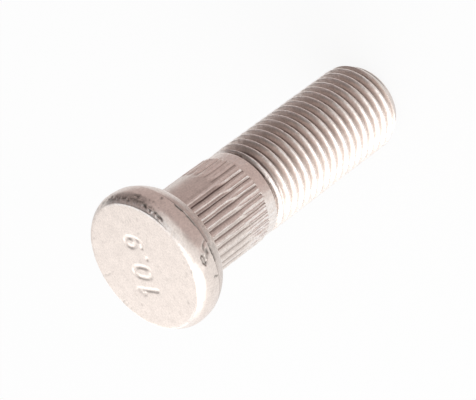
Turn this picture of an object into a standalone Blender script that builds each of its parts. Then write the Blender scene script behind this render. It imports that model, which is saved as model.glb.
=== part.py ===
"""A press-in wheel stud with a right-hand metric thread, forged and rolled from one piece of steel.

Metres, +Z up. The stud stands on the flat of its threaded end, at the origin, with its head up.
One closed mesh holds the head, the splined shank, the plain neck and the true helical thread.
"""

import bpy
import bmesh
from math import ceil, cos, radians, sin, tan, tau

# Head, measured down from its outer face
HEAD_DIAMETER = 0.0216
HEAD_THICKNESS = 0.0057
FACE_EDGE_WIDTH = 0.00090
FACE_EDGE_DEPTH = 0.0020
RIM_TAPER = 0.00018
BAND_HEIGHT = 0.0020
BAND_WIDTH = 0.00110
SEAT_FILLET = 0.0003

# Splined shank that is pressed into the hub. Each spline is wide near the neck and narrow near the head
SPLINE_COUNT = 30
SPLINE_LENGTH = 0.0132
SPLINE_DIAMETER = 0.0142
SPLINE_HEIGHT = 0.00032
SPLINE_WIDE_TOP = 0.00076
SPLINE_NARROW_TOP = 0.00032
SPLINE_FLANK = 0.00013
SPLINE_WIDE_LENGTH = 0.0039
SPLINE_TAPER_LENGTH = 0.0017
SPLINE_LEAD = 0.00035

# Plain neck between the splines and the thread, and the narrow groove that ends it
NECK_DIAMETER = 0.01374
NECK_LENGTH = 0.0018
GROOVE_DEPTH = 0.0003
GROOVE_SLOPE = 0.0001
GROOVE_HEIGHT = 0.00018

# Metric thread, its chamfered end and the run-out below the neck
THREAD_DIAMETER = 0.01394
THREAD_PITCH = 0.0015
THREAD_LENGTH = 0.0293
THREAD_HALF_ANGLE = radians(30)
END_DIAMETER = 0.01165
END_CHAMFER = 0.0019
RUN_OUT = 0.0016

# Fineness of the mesh, and the angle from which an edge is shaded sharp
HEAD_STEPS = 72
EDGE_STEPS = 5
RIM_STEPS = 2
THREAD_STEPS = 40
SHORTEST_FACET = 0.00015
SAME_ANGLE = 1e-9
SHARP_ANGLE = radians(25)

# Proportions that every metric thread shares
DEPTH_PER_PITCH = 0.6134
CREST_PER_PITCH = 0.125
THREAD_DEPTH = DEPTH_PER_PITCH * THREAD_PITCH
CREST_WIDTH = CREST_PER_PITCH * THREAD_PITCH
FLANK_WIDTH = THREAD_DEPTH * tan(THREAD_HALF_ANGLE)

# Heights above the threaded end
THREAD_TOP = THREAD_LENGTH - GROOVE_SLOPE
NECK_BOTTOM = THREAD_LENGTH
NECK_TOP = NECK_BOTTOM + NECK_LENGTH
SEAT_HEIGHT = NECK_TOP + SPLINE_LENGTH
FACE_HEIGHT = SEAT_HEIGHT + HEAD_THICKNESS


def clear_scene():
    """Take away whatever the scene held before."""
    for item in list(bpy.data.objects):
        bpy.data.objects.remove(item, do_unlink=True)


def even_angles(count):
    """Return angles spread evenly round the axis."""
    return [tau * step / count for step in range(count)]


def add_ring(mesh, height, radii, angles):
    """Add one closed ring of vertices round the axis, counterclockwise from above."""
    return [mesh.verts.new((radius * cos(angle), radius * sin(angle), height))
            for radius, angle in zip(radii, angles)]


def add_round_ring(mesh, height, radius, angles):
    """Add a ring that is a plain circle."""
    return add_ring(mesh, height, [radius] * len(angles), angles)


def add_face(mesh, corners):
    """Add a face through its different corners, unless fewer than three are left."""
    corners = list(dict.fromkeys(corners))
    if len(corners) > 2:
        mesh.faces.new(corners)


def join_rings(mesh, upper, upper_angles, lower, lower_angles):
    """Close the wall between two rings, which may differ in their number of vertices."""
    upper_angles = upper_angles + [upper_angles[0] + tau]
    lower_angles = lower_angles + [lower_angles[0] + tau]
    above = 0
    below = 0
    while above < len(upper) or below < len(lower):
        upper_from = upper[above % len(upper)]
        lower_from = lower[below % len(lower)]
        step_above = above < len(upper) and (
            below == len(lower) or upper_angles[above + 1] <= lower_angles[below + 1] + SAME_ANGLE)
        step_below = below < len(lower) and (
            above == len(upper) or lower_angles[below + 1] <= upper_angles[above + 1] + SAME_ANGLE)
        above += step_above
        below += step_below
        add_face(mesh, [upper_from, lower_from, lower[below % len(lower)], upper[above % len(upper)]])


def join_alike(mesh, upper, lower):
    """Close the wall between two rings whose vertices pair up one by one."""
    for here in range(len(upper)):
        beyond = (here + 1) % len(upper)
        add_face(mesh, [upper[here], lower[here], lower[beyond], upper[beyond]])


def head_outline():
    """Return the head's section as (radius, height), from the face's flat to the seat's rim."""
    rim_radius = HEAD_DIAMETER / 2
    crease_radius = rim_radius - RIM_TAPER
    edge_height = FACE_HEIGHT - FACE_EDGE_DEPTH
    crease_height = SEAT_HEIGHT + BAND_HEIGHT
    outline = []
    for step in range(EDGE_STEPS + 1):
        part = step / EDGE_STEPS
        radius = rim_radius - FACE_EDGE_WIDTH * (1 - part) ** 2
        outline.append((radius, FACE_HEIGHT - FACE_EDGE_DEPTH * part))
    for step in range(1, RIM_STEPS + 1):
        part = step / RIM_STEPS
        height = edge_height + (crease_height - edge_height) * part
        outline.append((rim_radius - RIM_TAPER * part ** 2, height))
    outline.append((crease_radius - BAND_WIDTH, SEAT_HEIGHT))
    return outline


def spline_angles(top_width):
    """Return four angles for each spline: the foot and the top of one flank, then of the other."""
    half_top = top_width / SPLINE_DIAMETER
    half_foot = half_top + 2 * SPLINE_FLANK / SPLINE_DIAMETER
    angles = []
    for middle in even_angles(SPLINE_COUNT):
        angles += [middle - half_foot, middle - half_top, middle + half_top, middle + half_foot]
    return angles


def add_spline_ring(mesh, height, angles):
    """Add a ring with the full form of the splines."""
    top_radius = SPLINE_DIAMETER / 2
    floor_radius = top_radius - SPLINE_HEIGHT
    radii = [floor_radius, top_radius, top_radius, floor_radius] * SPLINE_COUNT
    return add_ring(mesh, height, radii, angles)


def add_head(mesh):
    """Add the head from its outer face down to the seat's outer rim, and return that ring."""
    angles = even_angles(HEAD_STEPS)
    outline = head_outline()
    rings = [add_round_ring(mesh, height, radius, angles) for radius, height in outline]
    mesh.faces.new(rings[0])
    for upper, lower in zip(rings, rings[1:]):
        join_alike(mesh, upper, lower)
    return rings[-1], angles


def add_splines(mesh, seat, seat_angles):
    """Add the seat under the head and the splines below it, and return the ring where they end."""
    narrow = spline_angles(SPLINE_NARROW_TOP)
    wide = spline_angles(SPLINE_WIDE_TOP)
    wide_end = NECK_TOP + SPLINE_WIDE_LENGTH
    fillet_top = add_round_ring(mesh, SEAT_HEIGHT, SPLINE_DIAMETER / 2 + SEAT_FILLET, narrow)
    neck_top = add_round_ring(mesh, NECK_TOP, NECK_DIAMETER / 2, wide)
    rings = [
        fillet_top,
        add_spline_ring(mesh, SEAT_HEIGHT - SEAT_FILLET, narrow),
        add_spline_ring(mesh, wide_end + SPLINE_TAPER_LENGTH, narrow),
        add_spline_ring(mesh, wide_end, wide),
        add_spline_ring(mesh, NECK_TOP + SPLINE_LEAD, wide),
        neck_top,
    ]
    join_rings(mesh, seat, seat_angles, fillet_top, narrow)
    for upper, lower in zip(rings, rings[1:]):
        join_alike(mesh, upper, lower)
    return neck_top, wide


def add_neck(mesh, neck_top, neck_top_angles):
    """Add the plain neck and one side of the groove that ends it, and return the groove's ring."""
    angles = even_angles(THREAD_STEPS)
    neck_bottom = add_round_ring(mesh, NECK_BOTTOM, NECK_DIAMETER / 2, angles)
    groove = add_round_ring(mesh, THREAD_TOP, NECK_DIAMETER / 2 - GROOVE_DEPTH, angles)
    join_rings(mesh, neck_top, neck_top_angles, neck_bottom, angles)
    join_alike(mesh, neck_bottom, groove)
    return groove, angles


def thread_corners():
    """Return one turn's section as (radius, rise) from the lower end of a crest to the next one."""
    crest = THREAD_DIAMETER / 2
    root = crest - THREAD_DEPTH
    return [
        (crest, 0.0),
        (crest, CREST_WIDTH),
        (root, CREST_WIDTH + FLANK_WIDTH),
        (root, THREAD_PITCH - FLANK_WIDTH),
    ]


def limit_radius(radius, height):
    """Keep a thread radius inside the end's chamfer and the groove, and outside the run-out's rising floor."""
    crest = THREAD_DIAMETER / 2
    root = crest - THREAD_DEPTH
    groove = NECK_DIAMETER / 2 - GROOVE_DEPTH
    below = THREAD_TOP - height
    chamfer = END_DIAMETER / 2 + (crest - END_DIAMETER / 2) * height / END_CHAMFER
    groove_side = groove + max(below - GROOVE_HEIGHT, 0.0)
    floor = root + (groove - root) * max(1 - below / RUN_OUT, 0.0)
    return min(max(radius, floor), chamfer, groove_side)


def thread_column(mesh, angle, bottom, top):
    """Return the thread's vertices up one line at this angle. What passes an end becomes the end's."""
    column = []
    for turn in range(-1, ceil(THREAD_LENGTH / THREAD_PITCH) + 1):
        for radius, rise in thread_corners():
            height = THREAD_PITCH * (turn + angle / tau) + rise
            if height < SHORTEST_FACET:
                column.append(bottom)
            elif height > THREAD_TOP - SHORTEST_FACET:
                column.append(top)
            else:
                reach = limit_radius(radius, height)
                column.append(mesh.verts.new((reach * cos(angle), reach * sin(angle), height)))
    return column


def add_thread(mesh, bottom, top, angles):
    """Add the helical thread between the end's ring and the neck's, a strip for each step round."""
    columns = [thread_column(mesh, *line) for line in zip(angles, bottom, top)]
    corners = len(thread_corners())
    columns.append(columns[0][corners:] + [top[0]] * corners)
    for left, right in zip(columns, columns[1:]):
        for row in range(len(left) - 1):
            add_face(mesh, [left[row], right[row], right[row + 1], left[row + 1]])


def build_stud():
    """Build the whole stud as one closed mesh."""
    mesh = bmesh.new()
    seat, seat_angles = add_head(mesh)
    neck_top, neck_top_angles = add_splines(mesh, seat, seat_angles)
    groove, angles = add_neck(mesh, neck_top, neck_top_angles)
    end = add_round_ring(mesh, 0.0, END_DIAMETER / 2, angles)
    add_thread(mesh, end, groove, angles)
    mesh.faces.new(reversed(end))
    bmesh.ops.recalc_face_normals(mesh, faces=mesh.faces)
    data = bpy.data.meshes.new("wheel_stud")
    mesh.to_mesh(data)
    mesh.free()
    data.shade_smooth()
    data.set_sharp_from_angle(angle=SHARP_ANGLE)
    return data


def plated_steel():
    """Return the stud's finish, a pale satin plating."""
    material = bpy.data.materials.new("plated_steel")
    material.use_nodes = True
    shader = material.node_tree.nodes["Principled BSDF"]
    shader.inputs["Base Color"].default_value = (0.72, 0.635, 0.59, 1.0)
    shader.inputs["Metallic"].default_value = 0.9
    shader.inputs["Roughness"].default_value = 0.36
    return material


def main():
    """Make the one object."""
    clear_scene()
    stud = bpy.data.objects.new("wheel_stud", build_stud())
    stud.data.materials.append(plated_steel())
    bpy.context.scene.collection.objects.link(stud)


main()
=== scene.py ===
"""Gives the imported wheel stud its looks: the fine surface of the steel, its plating and a small studio.

Metres, +Z up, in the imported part's own frame. The stud stands on its threaded end, with its head up.
Angles round the stud are measured from +X towards +Y, and heights from the threaded end.
"""

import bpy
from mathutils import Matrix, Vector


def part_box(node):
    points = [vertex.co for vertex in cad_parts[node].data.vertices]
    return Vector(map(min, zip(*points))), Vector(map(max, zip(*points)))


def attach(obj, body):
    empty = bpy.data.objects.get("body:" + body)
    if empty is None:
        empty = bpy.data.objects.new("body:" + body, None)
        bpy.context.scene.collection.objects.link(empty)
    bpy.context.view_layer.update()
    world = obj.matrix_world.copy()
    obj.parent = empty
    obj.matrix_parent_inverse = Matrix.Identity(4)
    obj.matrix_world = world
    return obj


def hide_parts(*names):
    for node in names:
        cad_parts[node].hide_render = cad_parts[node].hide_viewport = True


bl_info = {
    "name": "Wheel Stud Finish",
    "version": (1, 0, 0),
    "blender": (4, 5, 0),
    "location": "View3D > Sidebar > Wheel Stud",
    "description": "Builds a plated press-in wheel stud over its packed solid, and a studio round it",
    "category": "Mesh",
}

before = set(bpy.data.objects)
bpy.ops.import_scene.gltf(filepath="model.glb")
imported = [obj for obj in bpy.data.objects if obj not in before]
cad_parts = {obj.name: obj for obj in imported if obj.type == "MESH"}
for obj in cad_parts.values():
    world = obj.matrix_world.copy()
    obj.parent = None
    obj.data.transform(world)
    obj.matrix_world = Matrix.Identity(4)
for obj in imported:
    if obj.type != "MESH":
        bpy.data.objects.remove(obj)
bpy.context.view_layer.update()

from collections import namedtuple
from math import atan2, ceil, cos, degrees, hypot, pi, radians, sin, tan, tau

import bpy
import numpy as np
from bpy.props import FloatProperty, FloatVectorProperty, IntProperty, PointerProperty
from mathutils import Matrix, Vector, noise

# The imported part
NODE = "wheel_stud"
BODY = "root"
LOW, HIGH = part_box(NODE)

MM = 0.001

# Fineness of the mesh
FACE_SPACING = 0.18 * MM
FEWEST_STEPS = 6
HEAD_STEPS = 330
EDGE_STEPS = 15
BAND_STEPS = 8
SPLINE_STEPS = 28
THREAD_STEPS = 144
STROKE_STEPS = 24
SHORTEST_FACET = 0.05 * MM
SHARP_EDGE = radians(38)

# How close to a flat end a point counts as part of it
ON_FLAT = 0.01 * MM

# The face: how far inside the edge's start it stops being flat, and how dull it is
FACE_SHOULDER = 0.40 * MM
FACE_HOLLOW = 0.045

# The turn from the face to its rounded edge, as it was made and where it is rubbed down: steps out from the
# edge's start and down from the face
EDGE_TURN = np.array([
    (-0.22, 0.002), (-0.10, 0.006), (-0.01, 0.013), (0.045, 0.026), (0.10, 0.088), (0.17, 0.19)]) * MM
RUBBED_TURN = np.array([
    (-0.30, 0.006), (-0.20, 0.026), (-0.10, 0.056), (0.0, 0.095), (0.09, 0.142), (0.17, 0.20)]) * MM

# The tables of what changes round the stud have rows of an angle in degrees and a factor

# How far the turn is rubbed down
RUBBED_ROUND = [(0, 0.0), (200, 0.0), (222, 1.0), (262, 1.0), (288, 0.0), (360, 0.0)]
# How strong a highlight is painted on the edge next to the face, as the steel rubbed bright, below 0 where
# the edge is painted dull, and between which depths below the face that fades out
EDGE_SHEEN = [
    (0, -0.14), (30, -0.14), (60, -0.10), (120, -0.10), (150, 0.0), (170, 0.5), (195, 0.5), (210, 0.0),
    (250, 0.0), (265, 0.5), (278, 0.5), (292, 1.0), (345, 1.0), (360, -0.14)]
EDGE_SHEEN_ENDS = 0.8 * MM
EDGE_SHEEN_FULL = 0.35 * MM

# The rim draws in a little on its way down: rings as shares of that way, and how far in it ends
RIM_SHARES = (0.15, 0.3, 0.45, 0.6, 0.72, 0.82, 0.9, 0.95)
RIM_DRAW = 0.17 * MM

# The groove between rim and band: steps out from the rim's radius and up from the groove's middle
CREASE = np.array([(-0.19, 0.12), (-0.235, 0.06), (-0.265, 0.0), (-0.24, -0.07), (-0.235, -0.14)]) * MM
# The shade painted into that groove, and how far up and down from its middle it reaches
CREASE_SHADE = 0.8
CREASE_REACH = 0.12 * MM
# Where it is filled up, in degrees, as the start and the end of each change, then how far up and down from
# its middle that reaches, and how far inside the rim the filling lies
FILLED_FROM = (294, 312)
FILLED_UNTIL = (348, 360)
FILLED_REACH = 0.13 * MM
FILLED_INSIDE = 0.02 * MM

# The sloping band: how far it bulges, how much shade is painted on it under the rim, over what height above
# the seat that grows, and how much of that painted shade is gone where the groove is filled
BAND_BULGE = 0.10 * MM
BAND_SHADE = 0.20
BAND_FADE = 0.5 * MM
BAND_SHADE_GONE = 0.8

# The seat under the head: its outer ring, its painted shade, and the fillet with its rings as shares of its
# size
SEAT_LIP = 0.12 * MM
SEAT_SHADE = 0.1
FILLET = 0.30 * MM
FILLET_SHARES = (0.04, 0.15, 0.4, 0.7, 1.0)

# Where a spline's ridge is widest, and where it has narrowed on its way to the head
RIDGE_WIDE_BELOW = 34.5 * MM
RIDGE_NARROW_ABOVE = 36.8 * MM
# The angle of one ridge's middle
RIDGE_TURN = radians(8.8)
# A ridge's section near the head and near the neck, as rows of degrees clockwise from its middle, share of
# its height, and how strong a highlight is painted there, as the steel rubbed bright
NARROW_RIDGE = np.array([
    (-5.4, 0.42, 0.0), (-3.5, 0.66, 0.0), (-1.0, 0.96, 0.5), (-0.8, 1.0, 1.2), (-0.7, 1.02, 1.2),
    (-0.5, 1.03, 1.2), (-0.3, 1.0, 1.2), (0.1, 0.90, 0.8), (1.3, 0.42, 0.0), (2.6, 0.38, 0.0),
    (3.8, 0.36, 0.25), (4.6, 0.05, 0.0), (6.6, 0.42, 0.0)])
WIDE_RIDGE = np.array([
    (-5.6, 0.34, 0.0), (-3.9, 0.44, 0.0), (-3.1, 0.94, 0.8), (-2.5, 0.92, 0.6), (-0.9, 0.62, 0.15),
    (1.1, 0.50, 0.15), (1.9, 1.0, 0.5), (2.4, 1.05, 1.2), (3.4, 0.58, 1.2), (4.4, 0.10, 0.6),
    (4.8, 0.0, 0.0), (5.4, 0.10, 0.0), (6.4, 0.34, 0.0)])
# The shade painted at the foot beside each ridge: its place and its width, in degrees
FOOT_PLACE = 5.5
FOOT_WIDTH = 0.95
# Each ridge sways in two waves: how many degrees, the step from ridge to ridge and the length along it
RIDGE_WAVES = [(0.25, 2.4, 3.0 * MM), (0.12, 1.0, 0.7 * MM)]
# Its height varies in another: the share of it, the step and the length
RIDGE_WEAR = 0.08
RIDGE_WEAR_STEP = 1.9
RIDGE_WEAR_LENGTH = 2.3 * MM

# The patch of the shank where the ridges were rubbed flat, as the start and the end of each change, round
# and up, and what share of their height is left
FLAT_FROM = (radians(298), radians(305))
FLAT_UNTIL = (radians(352), radians(360))
FLAT_ABOVE = (35.9 * MM, 36.7 * MM)
FLAT_RISE = 0.75
# Below the patch the ridges are only worn: how much of them is gone, how high the floor lies, and how much
# of the painted shade at the feet and of the painted highlight lines is gone
WORN_SHARE = 0.25
WORN_RISE = 0.2
WORN_FEET = 0.5
WORN_SHINE = 0.6

# Rings along the splines, with the last ones as steps above the neck, then over what height the ridges and
# the floor between them rise from the neck, and how far up the shade painted at their ends lies
ROWS_ALONG_SPLINES = 25
ROWS_AT_END = np.array([0.55, 0.40, 0.28, 0.18, 0.10, 0.04, 0.0]) * MM
SPLINE_LEAD = 0.30 * MM
SPLINE_FLOOR_STEP = 0.06 * MM
SPLINE_END_REACH = 0.35 * MM
# How much shade is painted on the floor between the ridges, what the half under the head adds, the feet and
# the splines' end
SPLINE_FLOOR_SHADE = 0.28
HEAD_HALF_SHADE = 0.25
FOOT_SHADE = 0.46
SPLINE_END_SHADE = 0.5

# How much shade is painted round the shank, and round the roots of the thread: most on the stud's shaded
# side, least on its lit side
SHADE_ROUND = [
    (0, 1.0), (150, 1.0), (195, 0.6), (225, 0.6), (240, 0.75), (255, 0.8), (270, 1.0), (285, 1.2),
    (300, 1.4), (315, 1.1), (330, 1.15), (345, 1.3), (360, 1.0)]
ROOT_SHADE = [
    (0, 1.0), (150, 1.0), (225, 0.3), (240, 0.35), (255, 0.5), (270, 0.85), (285, 1.2), (300, 1.5),
    (315, 1.5), (330, 1.2), (360, 1.0)]

# How strong a highlight is painted round the shank's end at the neck, as the steel rubbed bright, up to which
# height fully so, and round the neck
SHEEN_ROUND = [
    (0, 0.0), (155, 0.0), (185, 0.8), (215, 1.0), (228, 1.0), (240, 0.6), (255, 0.3), (268, 0.0), (360, 0.0)]
SHEEN_BELOW = 33.0 * MM
NECK_SHEEN = [
    (0, 0.0), (155, 0.0), (185, 0.8), (215, 1.0), (228, 1.0), (246, 0.2), (256, 0.0), (290, 0.0), (305, 0.7),
    (325, 0.8), (340, 0.3), (360, 0.0)]

# Rings down the neck, as steps above the thread, then two at its foot, with a step in and the shade painted
# there
NECK_ROWS = np.array([1.35, 0.8, 0.25, 0.08]) * MM
NECK_FOOT = [(0.02 * MM, 0.02 * MM, 0.1), (0.12 * MM, 0.0, 0.8)]

# The groove between neck and thread: how far below the neck it starts, how deep and how high it is, how near
# its bottom the painted shade starts, and how dark that painted shade is
GROOVE_START = 0.06 * MM
GROOVE_DEPTH = 0.36 * MM
GROOVE_HEIGHT = 0.42 * MM
GROOVE_REACH = 0.05 * MM
GROOVE_SHADE = 0.9

# One pitch of the thread's section, upwards from the middle of a crest: rise as a share of the pitch, depth
# as a share of the full depth, and the shade painted there, above 0 in the root and below 0 as a highlight
# painted on the crest
THREAD_PROFILE = [
    (-0.112, 0.150, 0.0), (-0.085, 0.052, -0.7), (-0.060, 0.010, -1.0), (0.0, 0.0, -1.0),
    (0.028, 0.005, -1.0), (0.056, 0.030, -1.0), (0.086, 0.085, -1.0), (0.118, 0.165, -0.5),
    (0.200, 0.385, 0.0), (0.310, 0.695, 0.14), (0.400, 0.930, 0.80), (0.490, 1.0, 1.0),
    (0.600, 0.930, 0.6), (0.690, 0.695, 0.15), (0.800, 0.385, 0.0)]
# The full depth as a share of the pitch, a flank's angle, how far up the thread is shifted, the height over
# which its roots run out into the groove, and how much darker the cone at its end is
THREAD_DEPTH = 0.6134
FLANK_ANGLE = radians(30)
THREAD_SHIFT = 0.009 * MM
RUN_OUT = 1.3 * MM
CONE_HOLLOW = 0.15
# The last crest before the neck stands a little higher up than its turn would put it: by how much, over
# what height that grows, and how many of those heights below the groove it starts
CREST_LIFT = 0.2 * MM
LIFT_HEIGHT = 1.2 * MM
LIFT_START = 1.8

# The strength number on the face: the direction in which its digits follow each other
MARK_DIRECTION = radians(-30.2)
# The squared length below which a line counts as a dot
DOT_LENGTH_SQUARED = 1e-18

# How a dent falls off from its middle line, in shares of its width, and the lip that stands up round it
DENT_REACH = 3
DENT_FALL = 1.6
LIP_PLACE = 1.5
LIP_FALL = 5
LIP_SHARE = 0.22

# The steel's unevenness: the size of its swells, their kind of noise and their height, which is doubled near
# the face, and where that doubling starts and how far up it grows
SWELL_SIZE = 1.6 * MM
SWELL_NOISE = (0.9, 2.0, 3)
SWELL_HEIGHT = 0.006 * MM
FACE_SWELLS_ABOVE = 2.0 * MM
FACE_SWELLS_FADE = 1.5 * MM
# Crests and ridges are worn away unevenly: the size of the grain, how deep, its least and most, and the
# painted shading value at which that stops. The same grain breaks up the highlight painted as rubbed steel.
WEAR_SIZE = 0.33 * MM
WEAR_DEPTH = 0.05 * MM
WEAR_LIMITS = (-0.2, 1.0)
WEAR_HOLLOW = 0.1
SHINE_MEAN = 0.65
SHINE_GRAIN = 1.3
# Where the head's rim starts and grows full, then the bumps of the scale on it: size, pattern and height
RIM_FROM = 9.1 * MM
RIM_FADE = 0.9 * MM
SCALE_SIZE = 0.55 * MM
SCALE_SHIFT = (7, 0, 0)
SCALE_HEIGHT = 0.014 * MM
# Small pits in a line below the face's edge: their place and reach, the angles in degrees where they start,
# their size and pattern, the noise above which they sink in, their depth and their stain
PITS_BELOW = 0.7 * MM
PITS_REACH = 0.35 * MM
PITS_FROM = (288, 304)
PIT_SIZE = 0.22 * MM
PIT_SHIFT = (0, 9, 0)
PIT_START = 0.05
PIT_FADE = 0.3
PIT_DEPTH = 0.06 * MM
PIT_STAIN = 0.75
# How full a patch of painted shade is, and how much the swells break it up
SHADE_PATCH_MEAN = 0.7
SHADE_PATCH_SWELLS = 1.2

# Patches of shade painted on the head's rim and band, mostly on the stud's shaded side: the middle's angle in
# degrees and height in millimetres, half the width of each, and the strength
SHADE_PATCHES = [
    (252, 45.3, 13, 0.9, 0.26),
    (270, 45.3, 18, 0.9, 0.16),
    (256, 47.4, 9, 0.9, 0.16),
    (285, 47.3, 30, 1.0, 0.10),
    (275, 48.9, 20, 0.55, 0.14),
    (325, 49.25, 14, 0.35, 0.55),
    (346, 49.3, 14, 0.40, 0.60),
    (10, 49.5, 20, 0.35, 0.35),
    (325, 50.0, 35, 0.20, 0.12),
]

# The plating's grain and its patches: the scale of each one's noise, and the shades between which it varies
GRAIN_SCALE = 3600.0
GRAIN_SHADES = (0.87, 1.08)
PATCH_SCALE = 700.0
PATCH_SHADES = (0.94, 1.04)
# The noise that makes the specks, and the values between which they fade
SPECK_DETAIL = 5.0
SPECK_ROUGHNESS = 0.62
SPECK_FADE = (0.34, 0.66)
# How far the roughness varies with the grain, and how high the grain is
ROUGHNESS_SPREAD = 0.05
GRAIN_RELIEF = 0.02 * MM
# How far apart the nodes lie in the shader editor
NODE_SPACING = 180

# The floor: its size, how much of what the camera sees there is plain white, and how pale its paint is
FLOOR_SIZE = 3.0
FLOOR_GLOW = 0.9
FLOOR_PAINT = 0.85

# The camera: it looks down at the head, turned on its side as the photograph is
CAMERA_EYE = (-0.42 * MM, -272.5 * MM, 232.6 * MM)
CAMERA_ELEVATION = radians(36.61)
CAMERA_ROLL = radians(-126.74)
CAMERA_LENS = 179.6
CAMERA_SENSOR = 36.0
CAMERA_NEAR = 0.01

# The lamps, as where they stand and how large they are, and what they all point at
KEY_PLACE = (-0.2785, -0.01, 0.325)
KEY_SIZE = 0.566
BACK_PLACE = (-0.02, 0.36, 0.31)
BACK_SIZE = 0.26
SIDE_PLACE = (-0.09, 0.36, 0.11)
SIDE_SIZE = 0.20
AIM = (0.0, 0.0, 0.03)

# The cards beside and over the stud, as bent strips: the tone between dark and dim, where the front edge is,
# and how far out, how high and how far back each bend is
SIDE_CARDS = [
    ("high_flag", 0.0, -0.085, [
        (0.0855, 0.094, 0.076), (0.085, 0.100, 0.076), (0.065, 0.150, 0.125), (0.034, 0.170, 0.130)]),
    ("low_flag", 0.21, -0.038, [(0.089, 0.043, 0.075), (0.087, 0.075, 0.076)]),
    ("foot_flag", 0.30, -0.038, [(0.092, 0.003, 0.074), (0.089, 0.043, 0.075)]),
    ("front_flag", 1.0, -0.085, [(0.092, 0.003, -0.038), (0.0855, 0.094, -0.038)]),
    ("pale_flag", 1.0, -0.038, [(0.087, 0.075, 0.076), (0.0855, 0.094, 0.076)]),
]

# The low dim card that stands in front of the stud, as its two ends on the floor and its height
SCREEN_ENDS = [(0.092, -0.085), (-0.030, -0.125)]
SCREEN_HEIGHT = 0.056

# The grey card that lies in front of the stud: its corners, and how far above the floor it lies
CARD_CORNERS = [
    (-0.016, -0.020), (-0.022, -0.042), (-0.038, -0.060), (-0.100, -0.30), (0.30, -0.30), (0.30, 0.16),
    (0.060, 0.040), (0.030, 0.006)]
CARD_RISE = 0.0004

# Paler strips that soften the grey card's edge: the share of white in their colour and their corners, then
# how far above the floor they lie
EDGE_STRIPS = [
    (0.25, [(-0.0122, -0.0418), (-0.0165, -0.0543), (-0.0266, -0.0497), (-0.0202, -0.0386)]),
    (0.55, [(-0.0202, -0.0386), (-0.0266, -0.0497), (-0.0384, -0.0408), (-0.0292, -0.0319)]),
]
STRIP_RISE = 0.0006

# How rough the cards are, and how much they shine
CARD_ROUGHNESS = 0.9
CARD_GLOSS = 0.1

# A mark pressed into the steel, which runs from one point to another. Where its depth is below 0 it stands
# up instead.
Dent = namedtuple("Dent", "start end width depth stain")

# The height of the face in millimetres
FACE_HEIGHT = 50.0


def at(angle, radius, height):
    """Return the point at this angle in degrees, and this radius and height in millimetres."""
    turn = radians(angle)
    return np.array([radius * cos(turn), radius * sin(turn), height]) * MM


def dot(angle, radius, height, width, depth, stain):
    """Return a round dent."""
    place = at(angle, radius, height)
    return Dent(place, place, width * MM, depth * MM, stain)


def line(start, end, width, depth, stain):
    """Return a long dent between two places, each an angle, a radius and a height."""
    return Dent(at(*start), at(*end), width * MM, depth * MM, stain)


def face_nick(start, end, width, depth, stain):
    """Return a scratch or a nick on the face, between two places along and across the number's direction."""
    places = [
        (degrees(atan2(up, along) + MARK_DIRECTION), hypot(along, up), FACE_HEIGHT)
        for along, up in (start, end)]
    return line(*places, width, depth, stain)


# Nicks and scratches on the face, as two places along and across the number's direction in millimetres,
# then width, depth and stain
FACE_NICKS = [
    ((-6.60, 3.12), (-6.48, 3.18), 0.17, 0.05, 0.35),
    ((-7.80, 2.70), (-7.70, 3.00), 0.14, 0.03, 0.2),
    ((-5.15, 3.62), (-4.90, 3.60), 0.14, 0.04, 0.25),
    ((-4.80, 3.58), (-2.10, 3.15), 0.10, 0.02, 0.08),
    ((-2.60, 8.90), (-2.40, 8.70), 0.18, 0.04, 0.25),
    ((-2.50, 8.34), (-2.05, 7.75), 0.13, 0.05, 0.3),
    ((-2.05, 7.75), (-1.67, 6.90), 0.10, 0.03, 0.2),
    ((-6.80, 7.05), (-6.35, 6.55), 0.12, 0.04, 0.25),
    ((-7.15, 6.55), (-6.75, 5.95), 0.12, 0.03, 0.2),
    ((-7.60, 5.90), (-7.30, 5.50), 0.12, 0.03, 0.15),
    ((3.50, 8.62), (3.68, 8.50), 0.20, 0.04, 0.25),
    ((3.10, 7.10), (3.25, 6.90), 0.14, 0.02, 0.15),
    ((3.40, 4.50), (3.52, 4.42), 0.14, 0.03, 0.2),
    ((6.80, 1.22), (7.45, 1.32), 0.11, 0.03, 0.15),
    ((6.90, 0.62), (7.30, 0.55), 0.10, 0.02, 0.1),
    ((6.85, 0.08), (7.45, 0.18), 0.11, 0.03, 0.12),
    ((7.20, -0.40), (7.95, -0.32), 0.12, 0.03, 0.2),
    ((7.55, -1.82), (7.95, -2.02), 0.13, 0.04, 0.35),
    ((5.42, -1.12), (5.52, -1.26), 0.15, 0.04, 0.3),
    ((3.20, -1.85), (3.85, -2.20), 0.10, 0.03, 0.15),
    ((3.95, -2.20), (4.70, -2.62), 0.10, 0.03, 0.18),
    ((0.62, 0.45), (0.74, 0.25), 0.13, 0.03, 0.25),
    ((0.40, -3.05), (0.55, -3.15), 0.16, 0.03, 0.2),
    ((-1.42, -4.00), (-1.20, -4.10), 0.20, 0.03, 0.2),
    ((2.92, -3.42), (3.02, -3.48), 0.16, -0.05, 0.0),
    ((2.55, -3.68), (2.65, -3.72), 0.12, -0.03, 0.0),
    ((-4.60, -4.30), (-4.00, -4.32), 0.13, 0.03, 0.2),
    ((-7.00, -4.38), (-6.60, -4.45), 0.15, 0.03, 0.2),
    ((-4.90, -6.90), (-4.65, -6.90), 0.20, 0.04, 0.3),
    ((-7.30, -2.10), (-7.00, -2.18), 0.15, 0.02, 0.15),
    ((-4.45, -5.75), (-4.10, -5.82), 0.13, 0.02, 0.12),
    ((-0.35, -8.30), (0.15, -8.55), 0.22, 0.03, 0.25),
    ((0.35, -9.50), (0.60, -9.60), 0.20, 0.03, 0.3),
    ((1.70, -8.65), (1.95, -8.75), 0.16, 0.03, 0.2),
    ((-0.75, -7.80), (-0.45, -7.90), 0.15, 0.02, 0.15),
]

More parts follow.
